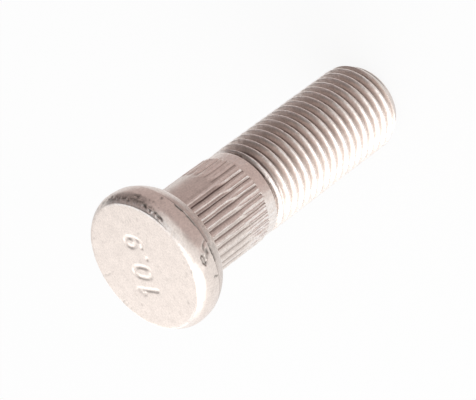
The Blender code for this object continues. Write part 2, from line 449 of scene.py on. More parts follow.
DENTS = [face_nick(*nick) for nick in FACE_NICKS] + [
    # Pits along the rounded edge of the head
    dot(319.2, 10.66, 48.58, 0.36, 0.15, 1.0),
    line((322.6, 10.66, 48.55), (320.6, 10.66, 48.50), 0.20, 0.08, 0.9),
    dot(329.8, 10.47, 49.17, 0.34, 0.14, 1.0),
    line((332.5, 10.44, 49.25), (330.6, 10.45, 49.22), 0.15, 0.07, 0.9),
    dot(325.4, 10.33, 49.45, 0.26, 0.12, 1.0),
    line((323.0, 10.50, 49.07), (311.6, 10.52, 49.02), 0.15, 0.07, 0.8),
    dot(335.6, 10.40, 49.30, 0.22, 0.08, 0.9),
    dot(340.6, 10.36, 49.40, 0.26, 0.07, 0.8),
    dot(345.2, 10.50, 49.10, 0.26, 0.07, 0.8),
    dot(337.4, 10.28, 49.55, 0.16, 0.06, 0.8),
    dot(316.6, 10.36, 49.38, 0.16, 0.06, 0.8),
    line((310.0, 10.36, 49.38), (307.6, 10.33, 49.44), 0.26, 0.14, 1.0),
    dot(302.8, 10.23, 49.60, 0.22, 0.12, 1.0),
    dot(305.4, 10.76, 48.32, 0.20, 0.05, 0.6),
    line((304.2, 10.71, 46.75), (303.4, 10.74, 47.10), 0.18, 0.07, 0.9),
    dot(309.0, 10.74, 48.37, 0.16, 0.04, 0.5),
    dot(299.0, 10.66, 48.60, 0.14, 0.04, 0.5),
    dot(292.6, 10.74, 48.10, 0.14, 0.04, 0.5),
    line((299.4, 10.29, 49.50), (297.8, 10.31, 49.46), 0.17, 0.12, 1.0),
    line((295.4, 10.25, 49.57), (292.4, 10.28, 49.52), 0.14, 0.12, 1.0),
    line((291.8, 10.28, 49.52), (290.4, 10.20, 49.66), 0.13, 0.11, 1.0),
    dot(284.0, 10.22, 49.62, 0.13, 0.05, 0.5),
    dot(277.0, 10.25, 49.58, 0.12, 0.05, 0.4),
    # Knocks on the rim
    line((258.6, 10.66, 46.60), (257.4, 10.70, 47.00), 0.17, 0.07, 0.7),
    line((257.4, 10.72, 47.10), (255.4, 10.76, 47.36), 0.20, 0.10, 1.0),
    line((254.6, 10.76, 47.42), (250.4, 10.76, 47.30), 0.20, 0.11, 1.0),
    line((250.4, 10.76, 47.30), (247.0, 10.77, 47.44), 0.18, 0.10, 0.9),
    line((253.0, 10.74, 47.06), (249.6, 10.74, 46.94), 0.18, 0.10, 0.9),
    line((251.2, 10.78, 48.22), (249.6, 10.79, 48.46), 0.17, 0.10, 0.9),
    line((249.6, 10.79, 48.46), (245.6, 10.78, 48.46), 0.15, 0.09, 0.8),
    line((245.6, 10.78, 48.46), (243.4, 10.79, 48.20), 0.15, 0.10, 0.9),
    line((243.4, 10.79, 48.20), (245.4, 10.79, 47.92), 0.18, 0.12, 1.0),
    line((245.4, 10.79, 47.92), (249.4, 10.79, 47.92), 0.18, 0.12, 1.0),
    line((249.4, 10.79, 47.92), (251.2, 10.78, 48.22), 0.18, 0.12, 1.0),
    line((249.0, 10.79, 48.20), (245.6, 10.79, 48.20), 0.26, 0.09, 0.35),
    line((243.2, 10.72, 48.72), (241.0, 10.75, 48.30), 0.14, -0.05, 0.0),
    line((230.6, 10.76, 47.20), (228.8, 10.67, 46.56), 0.15, 0.12, 1.0),
    # Where the groove behind the rim is deepest
    line((292.4, 10.60, 46.42), (287.0, 10.60, 46.38), 0.26, 0.12, 1.0),
    line((287.0, 10.61, 46.36), (280.5, 10.61, 46.36), 0.18, 0.06, 0.6),
    line((280.5, 10.60, 46.36), (272.4, 10.60, 46.34), 0.26, 0.10, 0.85),
    line((272.4, 10.61, 46.30), (258.0, 10.60, 46.26), 0.22, 0.06, 0.55),
    line((254.6, 10.60, 46.24), (251.0, 10.60, 46.24), 0.20, 0.10, 0.8),
    line((251.0, 10.58, 46.22), (247.6, 10.58, 46.22), 0.28, 0.16, 1.0),
    line((247.6, 10.59, 46.24), (241.4, 10.58, 46.24), 0.22, 0.12, 0.9),
    # Nicks on the first crests of the thread
    line((257.2, 6.95, 28.62), (255.4, 6.97, 28.00), 0.12, 0.16, 0.8),
    dot(289.2, 6.97, 26.80, 0.20, -0.05, 0.0),
    dot(275.8, 6.97, 25.20, 0.16, 0.08, 0.3),
    dot(275.6, 6.97, 22.18, 0.14, 0.08, 0.3),
    dot(300.0, 6.97, 20.75, 0.16, 0.08, 0.3),
]


class StudSizes(bpy.types.PropertyGroup):
    """Sizes of the stud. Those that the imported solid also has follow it."""

    length: FloatProperty(
        name="Length", description="From the threaded end to the head's face",
        default=HIGH.z, min=0.02, unit="LENGTH")
    head_diameter: FloatProperty(
        name="Head Diameter", description="Across the widest part of the head",
        default=HIGH.x - LOW.x, min=0.01, unit="LENGTH")
    head_thickness: FloatProperty(
        name="Head Thickness", description="From the head's face to the seat under it",
        default=5.7 * MM, min=0.001, unit="LENGTH")
    edge_width: FloatProperty(
        name="Edge Width", description="How far the head's rounded edge reaches in over the face",
        default=0.90 * MM, min=0.0001, unit="LENGTH")
    edge_depth: FloatProperty(
        name="Edge Depth", description="How far the head's rounded edge reaches down the rim",
        default=2.0 * MM, min=0.0001, unit="LENGTH")
    band_height: FloatProperty(
        name="Band Height", description="Height of the sloping band between the rim and the seat",
        default=2.0 * MM, min=0.0001, unit="LENGTH")
    band_width: FloatProperty(
        name="Band Width", description="How far the sloping band draws in",
        default=1.10 * MM, min=0.0001, unit="LENGTH")
    spline_count: IntProperty(
        name="Splines", description="Ridges round the shank", default=30, min=6, max=60)
    spline_length: FloatProperty(
        name="Spline Length", description="From the seat to the end of the ridges",
        default=13.2 * MM, min=0.002, unit="LENGTH")
    spline_diameter: FloatProperty(
        name="Spline Diameter", description="Across the tops of the ridges",
        default=14.2 * MM, min=0.005, unit="LENGTH")
    spline_height: FloatProperty(
        name="Spline Height", description="From the floor between two ridges to their tops",
        default=0.32 * MM, min=0.00005, unit="LENGTH")
    neck_diameter: FloatProperty(
        name="Neck Diameter", description="Across the plain neck",
        default=13.74 * MM, min=0.005, unit="LENGTH")
    neck_length: FloatProperty(
        name="Neck Length", description="From the ridges' end to the thread",
        default=1.8 * MM, min=0.0002, unit="LENGTH")
    thread_diameter: FloatProperty(
        name="Thread Diameter", description="Across the crests of the thread",
        default=13.94 * MM, min=0.004, unit="LENGTH")
    thread_pitch: FloatProperty(
        name="Thread Pitch", description="From one crest to the next",
        default=1.5 * MM, min=0.0005, unit="LENGTH")
    end_diameter: FloatProperty(
        name="End Diameter", description="Across the flat at the threaded end",
        default=11.65 * MM, min=0.002, unit="LENGTH")
    end_chamfer: FloatProperty(
        name="End Chamfer", description="Height of the cone that leads the nut on",
        default=1.9 * MM, min=0.0001, unit="LENGTH")
    stamp_width: FloatProperty(
        name="Stamp Width", description="Width of the strokes of the number on the face",
        default=1.0 * MM, min=0.0001, unit="LENGTH")
    stamp_depth: FloatProperty(
        name="Stamp Depth", description="Depth of the strokes of the number on the face",
        default=0.145 * MM, min=0.0, unit="LENGTH")


class PlatingLook(bpy.types.PropertyGroup):
    """Colours and grain of the plating, with the colours of the shade and the highlights painted on it."""

    plate: FloatVectorProperty(
        name="Plating", description="Colour of the clean plating",
        subtype="COLOR", default=(0.86, 0.768, 0.71), min=0.0, max=1.0)
    # The colour of the shade painted into roots, grooves and recesses
    painted_shading: FloatVectorProperty(
        name="Hollows", description="Colour of the plating in roots and grooves",
        subtype="COLOR", default=(0.15, 0.108, 0.097), min=0.0, max=1.0)
    # The colour of crests, ridges and edges rubbed bright, and of the highlights painted there
    worn_and_sheen: FloatVectorProperty(
        name="Worn Edges", description="Colour of crests and ridges that were rubbed bright",
        subtype="COLOR", default=(0.97, 0.925, 0.895), min=0.0, max=1.0)
    # The colour of pits and dents, and of the patches of shade painted on the rim
    stain: FloatVectorProperty(
        name="Stain", description="Colour of pits and dirty patches",
        subtype="COLOR", default=(0.16, 0.145, 0.13), min=0.0, max=1.0)
    metallic: FloatProperty(
        name="Metallic", description="Share of the surface that reflects as metal",
        default=0.88, min=0.0, max=1.0, subtype="FACTOR")
    roughness: FloatProperty(
        name="Roughness", description="Mean roughness of the plating",
        default=0.34, min=0.05, max=1.0, subtype="FACTOR")
    grain: FloatProperty(
        name="Grain", description="Strength of the plating's fine relief",
        default=0.25, min=0.0, max=1.0, subtype="FACTOR")


class StudioLook(bpy.types.PropertyGroup):
    """Colours of the floor and the cards, and strength of the light."""

    floor: FloatVectorProperty(
        name="Floor", description="Colour of the floor and of the backdrop",
        subtype="COLOR", default=(1.0, 1.0, 1.0), min=0.0, max=1.0)
    fill: FloatProperty(
        name="Fill", description="Strength of the even light from all round",
        default=0.55, min=0.0, max=4.0)
    key: FloatProperty(
        name="Key", description="Power of the large lamp beside the stud, in watts",
        default=1.62, min=0.0, max=100.0)
    back: FloatProperty(
        name="Back", description="Power of the lamp behind the stud, in watts",
        default=0.015, min=0.0, max=100.0)
    side: FloatProperty(
        name="Side", description="Power of the lamp low behind the stud's bright side, in watts",
        default=0.14, min=0.0, max=100.0)
    flag: FloatVectorProperty(
        name="Flag", description="Colour of the dark card that shades one side",
        subtype="COLOR", default=(0.050, 0.037, 0.035), min=0.0, max=1.0)
    screen: FloatVectorProperty(
        name="Screen", description="Colour of the low card that stands in front of the stud",
        subtype="COLOR", default=(0.53, 0.432, 0.42), min=0.0, max=1.0)
    card: FloatVectorProperty(
        name="Card", description="Colour of the grey card that lies in front of the stud",
        subtype="COLOR", default=(0.61, 0.502, 0.486), min=0.0, max=1.0)


def smooth(share):
    """Ease a share from 0 to 1."""
    share = np.clip(share, 0.0, 1.0)
    return share * share * (3 - 2 * share)


def fade(value, start, end):
    """Return 0 at start and 1 at end, eased between them."""
    return smooth((value - start) / (end - start))


def factor_at(angles, table):
    """Return a table's factor at these angles."""
    return np.interp(np.degrees(angles) % 360, *zip(*table))


def even_angles(count):
    """Return angles spread evenly round the axis."""
    return np.arange(count) * (tau / count)


class Skin:
    """The points and faces of one closed surface, gathered from the head's face down to the threaded end.

    Each point also has a painted shading value: 0 on an open surface, up to 1 where shade is painted into a
    groove, root or recess, below 0 where a highlight is painted as steel rubbed bright. The skin keeps its
    last ring, which the next one joins.
    """

    def __init__(self):
        self.points = []
        self.painted_shadings = []
        self.faces = []
        self.ring = []
        self.angles = []

    def add_points(self, angles, radii, heights, painted_shadings=0.0):
        """Add one point for each angle, and return their numbers."""
        first = len(self.points)
        angles = np.asarray(angles, float)
        radii = np.broadcast_to(radii, angles.shape)
        heights = np.broadcast_to(heights, angles.shape)
        self.points.extend(np.stack([radii * np.cos(angles), radii * np.sin(angles), heights], -1).tolist())
        self.painted_shadings.extend(np.broadcast_to(painted_shadings, angles.shape).tolist())
        return list(range(first, len(self.points)))

    def add_face(self, corners):
        """Add a face through its different corners, unless fewer than three are left."""
        corners = list(dict.fromkeys(corners))
        if len(corners) > 2:
            self.faces.append(corners)

    def add_ring(self, angles, radii, heights, painted_shadings):
        """Add a ring of points, and close the wall between it and the last ring."""
        ring = self.add_points(angles, radii, heights, painted_shadings)
        if len(ring) == len(self.ring):
            self.join_even(self.ring, ring)
        elif self.ring:
            self.join_uneven(self.ring, self.angles, ring, angles)
        self.ring = ring
        self.angles = angles

    def join_even(self, upper, lower):
        """Close the wall between two rings with the same number of points."""
        for here in range(len(upper)):
            beyond = (here + 1) % len(upper)
            self.faces.append([upper[here], lower[here], lower[beyond], upper[beyond]])

    def join_uneven(self, upper, upper_angles, lower, lower_angles):
        """Close the wall between two rings that differ in their number of points."""
        upper_angles = list(upper_angles) + [upper_angles[0] + tau]
        lower_angles = list(lower_angles) + [lower_angles[0] + tau]
        above = 0
        below = 0
        while above < len(upper) or below < len(lower):
            step_above = below == len(lower) or (
                above < len(upper) and upper_angles[above + 1] <= lower_angles[below + 1])
            corners = [upper[above % len(upper)], lower[below % len(lower)]]
            if step_above:
                above += 1
                corners.append(upper[above % len(upper)])
            else:
                below += 1
                corners.append(lower[below % len(lower)])
            self.add_face(corners)


def add_face_disc(skin, sizes):
    """Add the flat of the head's face, as rings that grow from its middle."""
    flat = sizes.head_diameter / 2 - sizes.edge_width - FACE_SHOULDER
    rings = ceil(flat / FACE_SPACING)
    middle = skin.add_points([0.0], 0.0, sizes.length, FACE_HOLLOW)
    for step in range(1, rings + 1):
        radius = flat * step / rings
        count = HEAD_STEPS if step == rings else max(FEWEST_STEPS, round(tau * radius / FACE_SPACING))
        skin.add_ring(even_angles(count), radius, sizes.length, FACE_HOLLOW)
        if step == 1:
            for here in range(count):
                skin.add_face([middle[0], skin.ring[here], skin.ring[(here + 1) % count]])


def rim_outline(sizes):
    """Return the head's section below its flat face as (radius, height), down to the seat's rim."""
    rim = sizes.head_diameter / 2
    seat = sizes.length - sizes.head_thickness
    edge_bottom = sizes.length - sizes.edge_depth
    crease = seat + sizes.band_height
    outline = [(rim - sizes.edge_width + out, sizes.length - down) for out, down in EDGE_TURN]
    start = EDGE_TURN[-1][1] / sizes.edge_depth
    for step in range(1, EDGE_STEPS + 1):
        share = start + (1 - start) * step / EDGE_STEPS
        outline.append((rim - sizes.edge_width * (1 - share) ** 2, sizes.length - sizes.edge_depth * share))
    for share in RIM_SHARES:
        outline.append((rim - RIM_DRAW * share ** 2, edge_bottom + (crease - edge_bottom) * share))
    outline += [(rim + out, crease + up) for out, up in CREASE]
    top_radius, top_height = outline[-1]
    bottom_radius = rim - sizes.band_width - RIM_DRAW
    for step in range(1, BAND_STEPS + 1):
        share = step / BAND_STEPS
        radius = top_radius + (bottom_radius - top_radius) * share + BAND_BULGE * sin(pi * share)
        outline.append((radius, top_height + (seat - top_height) * share))
    return outline


def add_head(skin, sizes):
    """Add the head from its face to the fillet under it."""
    angles = even_angles(HEAD_STEPS)
    turn = np.degrees(angles)
    seat = sizes.length - sizes.head_thickness
    crease = seat + sizes.band_height
    edge_start = sizes.head_diameter / 2 - sizes.edge_width
    filled = fade(turn, *FILLED_FROM) * (1 - fade(turn, *FILLED_UNTIL))
    filled_radius = sizes.head_diameter / 2 - RIM_DRAW - FILLED_INSIDE
    rub_and_sheen = factor_at(angles, RUBBED_ROUND)
    shine = factor_at(angles, EDGE_SHEEN)
    outline = rim_outline(sizes)
    add_face_disc(skin, sizes)
    for (radius, height), (out, down) in zip(outline, RUBBED_TURN):
        radii = radius + (edge_start + out - radius) * rub_and_sheen
        heights = height + (sizes.length - down - height) * rub_and_sheen
        # The turn next to the face carries the edge's painted highlight, or its painted dull tone
        skin.add_ring(angles, radii, heights, -shine)
    for radius, height in outline[len(EDGE_TURN):]:
        # Shade painted into the rim's groove and on the band under the rim, and the edge's painted highlight
        # fading out down the rim
        near_crease = max(0.0, 1 - abs(height - crease) / CREASE_REACH)
        painted_shading = CREASE_SHADE * near_crease * (1 - filled)
        if height < crease:
            shaded_band = BAND_SHADE * fade(height, seat, seat + BAND_FADE) * (1 - BAND_SHADE_GONE * filled)
            painted_shading = np.maximum(painted_shading, shaded_band)
        painted_shading = painted_shading - shine * fade(height, sizes.length - EDGE_SHEEN_ENDS, sizes.length - EDGE_SHEEN_FULL)
        if abs(height - crease) < FILLED_REACH:
            radius = radius + max(0.0, filled_radius - radius) * filled
        skin.add_ring(angles, radius, height, painted_shading)
    outer = sizes.head_diameter / 2 - sizes.band_width - RIM_DRAW
    inner = sizes.spline_diameter / 2 + FILLET
    # The seat carries painted shade
    for radius in (outer - SEAT_LIP, (outer + inner) / 2, inner):
        skin.add_ring(angles, radius, seat, SEAT_SHADE)


def ridge_rise(angles, height, sizes):
    """Return the rise above the shank's floor, how near a foot's painted shade is, and the painted highlight.
    """
    number = np.round((angles - RIDGE_TURN) / (tau / sizes.spline_count))
    clockwise = -np.degrees(angles - RIDGE_TURN - number * (tau / sizes.spline_count))
    for sway, step, length in RIDGE_WAVES:
        clockwise = clockwise + sway * np.sin(number * step + height / length)
    wide = 1 - fade(height, RIDGE_WIDE_BELOW, RIDGE_NARROW_ABOVE)
    bends, rises, ridge_sheens = (NARROW_RIDGE + (WIDE_RIDGE - NARROW_RIDGE) * wide).T
    period = 360 / sizes.spline_count
    clockwise = np.where(clockwise > bends[-1], clockwise - period, clockwise)
    clockwise = np.where(clockwise < bends[0], clockwise + period, clockwise)
    # Painted shade at the foot beside each ridge, and the painted highlight along it
    foot = np.exp(-((clockwise - FOOT_PLACE) / FOOT_WIDTH) ** 2)
    ridge_sheen = np.interp(clockwise, bends, ridge_sheens)
    wear = 1 - RIDGE_WEAR + RIDGE_WEAR * np.sin(number * RIDGE_WEAR_STEP + height / RIDGE_WEAR_LENGTH)
    rise = np.interp(clockwise, bends, rises) * wear
    # The patch where the ridges are worn down, which also takes away part of their painted shade and
    # highlight
    worn_and_sheen = fade(angles, *FLAT_FROM) * (1 - fade(angles, *FLAT_UNTIL))
    flat = worn_and_sheen * fade(height, *FLAT_ABOVE)
    rise = rise * (1 - worn_and_sheen * WORN_SHARE) + worn_and_sheen * WORN_RISE
    rise = rise * (1 - flat) + FLAT_RISE * flat
    return rise, foot * (1 - flat) * (1 - WORN_FEET * worn_and_sheen), ridge_sheen * (1 - flat) * (1 - WORN_SHINE * worn_and_sheen)


def add_splines(skin, sizes):
    """Add the splined shank below the head, down to the neck."""
    seat = sizes.length - sizes.head_thickness
    bottom = seat - sizes.spline_length
    floor_radius = sizes.spline_diameter / 2 - sizes.spline_height
    neck_radius = sizes.neck_diameter / 2
    angles = even_angles(sizes.spline_count * SPLINE_STEPS)
    side_shade = factor_at(angles, SHADE_ROUND)
    rub_and_sheen = factor_at(angles, SHEEN_ROUND)
    heights = [seat - FILLET * share for share in FILLET_SHARES]
    heights += list(np.linspace(seat - FILLET, bottom + ROWS_AT_END[0], ROWS_ALONG_SPLINES + 1)[1:])
    heights += [bottom + above for above in ROWS_AT_END[1:]]
    for height in heights:
        rise, foot, ridge_sheen = ridge_rise(angles, height, sizes)
        lead = fade(height, bottom, bottom + SPLINE_LEAD)
        step = fade(height, bottom, bottom + SPLINE_FLOOR_STEP)
        ends = step * (1 - fade(height, bottom + SPLINE_FLOOR_STEP, bottom + SPLINE_END_REACH))
        over_neck = floor_radius + sizes.spline_height * rise - neck_radius
        radius = neck_radius + np.maximum(over_neck, 0.0) * lead + np.minimum(over_neck, 0.0) * step
        flare = max(0.0, 1 - (seat - height) / FILLET)
        radius = radius + FILLET * flare ** 2
        # Shade painted on the floor between the ridges, more in the half under the head, at their feet and at
        # their end, and the painted highlights
        head_half = fade(height, RIDGE_WIDE_BELOW, RIDGE_NARROW_ABOVE)
        floor_shade = SPLINE_FLOOR_SHADE + HEAD_HALF_SHADE * head_half
        painted_shading = (floor_shade * (1 - rise) + FOOT_SHADE * foot) * lead * side_shade
        painted_shading = painted_shading + SPLINE_END_SHADE * (1 - rise) * ends
        shine = rub_and_sheen * (1 - fade(height, SHEEN_BELOW, RIDGE_NARROW_ABOVE)) * (1 - foot)
        skin.add_ring(angles, radius, height, painted_shading - ridge_sheen * step - shine)


def add_neck(skin, sizes):
    """Add the plain neck and the top of the groove below it."""
    bottom = sizes.length - sizes.head_thickness - sizes.spline_length - sizes.neck_length
    radius = sizes.neck_diameter / 2
    angles = even_angles(THREAD_STEPS * 2)
    # The neck carries a painted highlight round part of it. Below it, shade is painted at its foot and in the
    # groove
    for above in NECK_ROWS:
        skin.add_ring(angles, radius, bottom + above, -factor_at(angles, NECK_SHEEN))
    for inward, above, painted_shading in NECK_FOOT:
        skin.add_ring(angles, radius - inward, bottom + above, painted_shading)
    skin.add_ring(even_angles(THREAD_STEPS), radius - GROOVE_DEPTH, bottom - GROOVE_START, 1.0)


def add_thread(skin, sizes):
    """Add the helical thread below the neck's groove down to the chamfered end, and the end's flat."""
    top = sizes.length - sizes.head_thickness - sizes.spline_length - sizes.neck_length - GROOVE_START
    crest = sizes.thread_diameter / 2
    root = crest - THREAD_DEPTH * sizes.thread_pitch
    groove = sizes.neck_diameter / 2 - GROOVE_DEPTH
    end_radius = sizes.end_diameter / 2
    end = skin.add_points(skin.angles, end_radius, 0.0)
    turns = range(-1, ceil(top / sizes.thread_pitch) + 2)
    turn_numbers = np.repeat(turns, len(THREAD_PROFILE))
    rises, depths, marks = np.tile(THREAD_PROFILE, (len(turns), 1)).T
    rises = rises * sizes.thread_pitch
    depths = depths * THREAD_DEPTH * sizes.thread_pitch
    columns = []
    for here, angle in enumerate(skin.angles):
        heights = sizes.thread_pitch * (turn_numbers + angle / tau) + THREAD_SHIFT + rises
        heights += CREST_LIFT * smooth((heights - top) / LIFT_HEIGHT + LIFT_START)
        cone = end_radius + (crest - end_radius) * heights / sizes.end_chamfer
        below = top - heights
        ceiling = groove + np.maximum(below - GROOVE_HEIGHT, 0.0) / tan(FLANK_ANGLE)
        floor = root + (groove - root) * (1 - smooth(below / RUN_OUT))
        radii = np.minimum(np.maximum(crest - depths, floor), np.minimum(cone, ceiling))
        # Shade painted into the roots, heaviest on the stud's shaded side, and into the groove; highlights
        # painted on the crests
        painted_shadings = np.where(marks > 0, marks * factor_at(angle, ROOT_SHADE), marks)
        painted_shadings = np.where(cone < crest - depths, CONE_HOLLOW, painted_shadings)
        painted_shadings = np.where(ceiling < groove + GROOVE_REACH, GROOVE_SHADE, painted_shadings)
        column = []
        for radius, height, painted_shading in zip(radii, heights, painted_shadings):
            if height < SHORTEST_FACET:
                column.append(end[here])
            elif height > top - SHORTEST_FACET:
                column.append(skin.ring[here])
            else:
                column += skin.add_points([angle], radius, height, painted_shading)
        columns.append(column)
    columns.append(columns[0][len(THREAD_PROFILE):] + [skin.ring[0]] * len(THREAD_PROFILE))
    for left, right in zip(columns, columns[1:]):
        for row in range(len(left) - 1):
            skin.add_face([left[row + 1], left[row], right[row], right[row + 1]])
    skin.faces.append(list(reversed(end)))


def oval(centre, radii, start, end, steps=STROKE_STEPS, roundness=1.0):
    """Return points along part of an oval between two angles in degrees, squarer where roundness is low."""
    points = []
    for step in range(steps + 1):
        turn = radians(start + (end - start) * step / steps)
        out, up = (np.sign(way) * abs(way) ** roundness for way in (cos(turn), sin(turn)))
        points.append((centre[0] + radii[0] * out, centre[1] + radii[1] * up))
    return points


def mark_strokes():
    """Return the strokes of the number on the face: a share of the depth, and points in millimetres."""
    flag = [(-4.78, 1.80), (-4.45, 2.20), (-4.05, 2.72)]
    flag_end = [(-4.62, 1.55), (-4.56, 1.60)]
    one = [(-3.95, 2.75), (-3.90, 1.0), (-3.84, -1.25)]
    nought = oval((-1.05, 0.65), (0.89, 1.66), 0, 360, 2 * STROKE_STEPS, 0.8)
    point = [(1.33, -1.22), (1.37, -1.18)]
    loop = oval((3.75, 1.12), (0.78, 0.98), 0, 360)
    tail = oval((3.55, 0.85), (1.0, 1.95), 0, -88) + [(3.1, -0.95)]
    return [
        (0.75, flag), (1.0, flag_end), (1.0, one), (0.95, nought), (0.9, point), (0.95, loop), (0.95, tail)]


def distance_to_line(points, start, end):
    """Return each point's distance to the line between two places, in two or three dimensions."""
    along = end - start
    share = ((points - start) @ along) / max(along @ along, DOT_LENGTH_SQUARED)
    nearest = start + np.clip(share, 0, 1)[:, None] * along
    return np.linalg.norm(points - nearest, axis=1)


def number_depth(flat, sizes):
    """Return how deep the number is pressed in at each of these points of the face."""
    along = np.array([cos(MARK_DIRECTION), sin(MARK_DIRECTION)])
    across = np.array([-along[1], along[0]])
    places = np.stack([flat[:, :2] @ along, flat[:, :2] @ across], -1)
    pressed = np.zeros(len(flat))
    for share, stroke in mark_strokes():
        stroke = np.array(stroke) * MM
        away = [distance_to_line(places, start, end) for start, end in zip(stroke, stroke[1:])]
        near = 1 - smooth(np.min(away, axis=0) / (sizes.stamp_width / 2))
        pressed = np.maximum(pressed, share * near)
    return sizes.stamp_depth * pressed


def press_dents(points, inward, stain):
    """Add every dent to how far each point is pressed in, and to how stained it is."""
    for dent in DENTS:
        reach = np.linalg.norm(dent.end - dent.start) / 2 + DENT_REACH * dent.width
        near = np.linalg.norm(points - (dent.start + dent.end) / 2, axis=1) < reach
        share = distance_to_line(points[near], dent.start, dent.end) / dent.width
        hole = np.exp(-share ** 2 * DENT_FALL)
        lip = np.exp(-(share - LIP_PLACE) ** 2 * LIP_FALL) * LIP_SHARE
        inward[near] += dent.depth * (hole - lip)
        stain[near] = np.maximum(stain[near], dent.stain * hole)


def bumps(points, size, shift=(0, 0, 0)):
    """Return smooth noise with bumps of this size at each point. The shift gives another pattern."""
    return np.array([noise.noise(Vector(point) / size + Vector(shift)) for point in points])


def vectors(source, name):
    """Return the vectors that a mesh's points have, one in a row."""
    values = np.empty(len(source) * 3, np.float32)
    source.foreach_get(name, values)
    return values.reshape(-1, 3).astype(float)


def press_marks(data, sizes):
    """Press the number, dents and the steel's slight unevenness into the mesh, with stains and painted shade.
    """
    points = vectors(data.vertices, "co")
    normals = vectors(data.vertex_normals, "vector")
    heights = points[:, 2].copy()
    inward = np.zeros(len(points))
    stain = np.zeros(len(points))
    face = heights > sizes.length - ON_FLAT
    inward[face] += number_depth(points[face], sizes)
    press_dents(points, inward, stain)

    swells = np.array([noise.fractal(Vector(point) / SWELL_SIZE, *SWELL_NOISE) for point in points])
    grain = bumps(points, WEAR_SIZE)
    painted_shading = np.empty(len(points), np.float32)
    data.attributes["painted_shading"].data.foreach_get("value", painted_shading)
    crest = (1 - smooth(painted_shading / WEAR_HOLLOW)) * (heights < sizes.length - sizes.head_thickness)
    inward += crest * np.clip(grain, *WEAR_LIMITS) * WEAR_DEPTH
    # The same grain breaks up the painted highlights
    shine = np.clip(SHINE_MEAN + SHINE_GRAIN * grain, 0.0, 1.0)
    painted_shading = np.where(painted_shading < 0, painted_shading * shine, painted_shading)
    data.attributes["painted_shading"].data.foreach_set("value", painted_shading.astype(np.float32))
    near_face = smooth((heights - (sizes.length - FACE_SWELLS_ABOVE)) / FACE_SWELLS_FADE)
    inward += swells * (SWELL_HEIGHT + SWELL_HEIGHT * near_face)

    rim = smooth((np.hypot(points[:, 0], points[:, 1]) - RIM_FROM) / RIM_FADE)
    scale = bumps(points, SCALE_SIZE, SCALE_SHIFT)
    inward += rim * scale * SCALE_HEIGHT
    angle = np.degrees(np.arctan2(points[:, 1], points[:, 0])) % 360
    edge = np.exp(-((heights - (sizes.length - PITS_BELOW)) / PITS_REACH) ** 2)
    pits = smooth((bumps(points, PIT_SIZE, PIT_SHIFT) - PIT_START) / PIT_FADE)
    pitted = edge * rim * fade(angle, *PITS_FROM) * pits
    inward += pitted * PIT_DEPTH
    stain = np.maximum(stain, PIT_STAIN * pitted)
    # Patches of shade painted on the rim, mostly on the stud's shaded side
    side_shade = np.zeros(len(points))
    for turn, height, half_turn, half_height, strength in SHADE_PATCHES:
        away = (angle - turn + 180) % 360 - 180
        side_shade += strength * rim * np.exp(
            -(away / half_turn) ** 2 - ((heights / MM - height) / half_height) ** 2)
    stain = np.maximum(stain, side_shade * smooth(SHADE_PATCH_MEAN + swells * SHADE_PATCH_SWELLS + scale))

    inward[heights < ON_FLAT] = 0.0
    points -= normals * inward[:, None]
    data.vertices.foreach_set("co", points.reshape(-1))
    layer = data.attributes.new("stain", "FLOAT", "POINT")
    layer.data.foreach_set("value", stain.astype(np.float32))
    data.update()


def stud_mesh(sizes):
    """Build the whole stud as one closed mesh."""
    skin = Skin()
    add_head(skin, sizes)
    add_splines(skin, sizes)
    add_neck(skin, sizes)
    add_thread(skin, sizes)
    data = bpy.data.meshes.new("steel_stud")
    data.from_pydata(skin.points, [], skin.faces)
    data.validate()
    layer = data.attributes.new("painted_shading", "FLOAT", "POINT")
    layer.data.foreach_set("value", np.array(skin.painted_shadings, np.float32))
    data.shade_smooth()
    press_marks(data, sizes)
    data.set_sharp_from_angle(angle=SHARP_EDGE)
    return data


class Nodes:
    """Places and links nodes in one tree, in a row from left to right."""

    def __init__(self, tree):
        self.tree = tree
        self.place = 0

    def add(self, kind, **settings):
        """Add a node, with its settings and, as inputs, the values or sockets named by number or name."""
        node = self.tree.nodes.new(kind)
        self.place += 1
        node.location = (self.place * NODE_SPACING, 0)
        inputs = settings.pop("inputs", {})
        for name, value in settings.items():
            setattr(node, name, value)
        for name, value in inputs.items():
            if isinstance(value, bpy.types.NodeSocket):
                self.tree.links.new(value, node.inputs[name])
            else:
                node.inputs[name].default_value = value
        return node


def speckle_group():
    """Return the group that gives a fine grain: a mask of light and dark specks, and their relief."""
    group = bpy.data.node_groups.new("speckle", "ShaderNodeTree")
    for name in ("Scale", "Amount"):
        socket = group.interface.new_socket(name, in_out="INPUT", socket_type="NodeSocketFloat")
        socket.default_value = 1.0
    for name in ("Mask", "Relief"):
        group.interface.new_socket(name, in_out="OUTPUT", socket_type="NodeSocketFloat")
    nodes = Nodes(group)
    entry = nodes.add("NodeGroupInput")
    place = nodes.add("ShaderNodeTexCoord")
    fine = nodes.add("ShaderNodeTexNoise", inputs={
        "Vector": place.outputs["Object"], "Scale": entry.outputs["Scale"],
        "Detail": SPECK_DETAIL, "Roughness": SPECK_ROUGHNESS})
    spread = nodes.add("ShaderNodeMapRange", inputs={
        "Value": fine.outputs["Fac"], "From Min": SPECK_FADE[0], "From Max": SPECK_FADE[1]})
    mask = nodes.add("ShaderNodeMath", operation="MULTIPLY", inputs={
        0: spread.outputs["Result"], 1: entry.outputs["Amount"]})
    leave = nodes.add("NodeGroupOutput")
    group.links.new(mask.outputs[0], leave.inputs["Mask"])
    group.links.new(fine.outputs["Fac"], leave.inputs["Relief"])
    return group


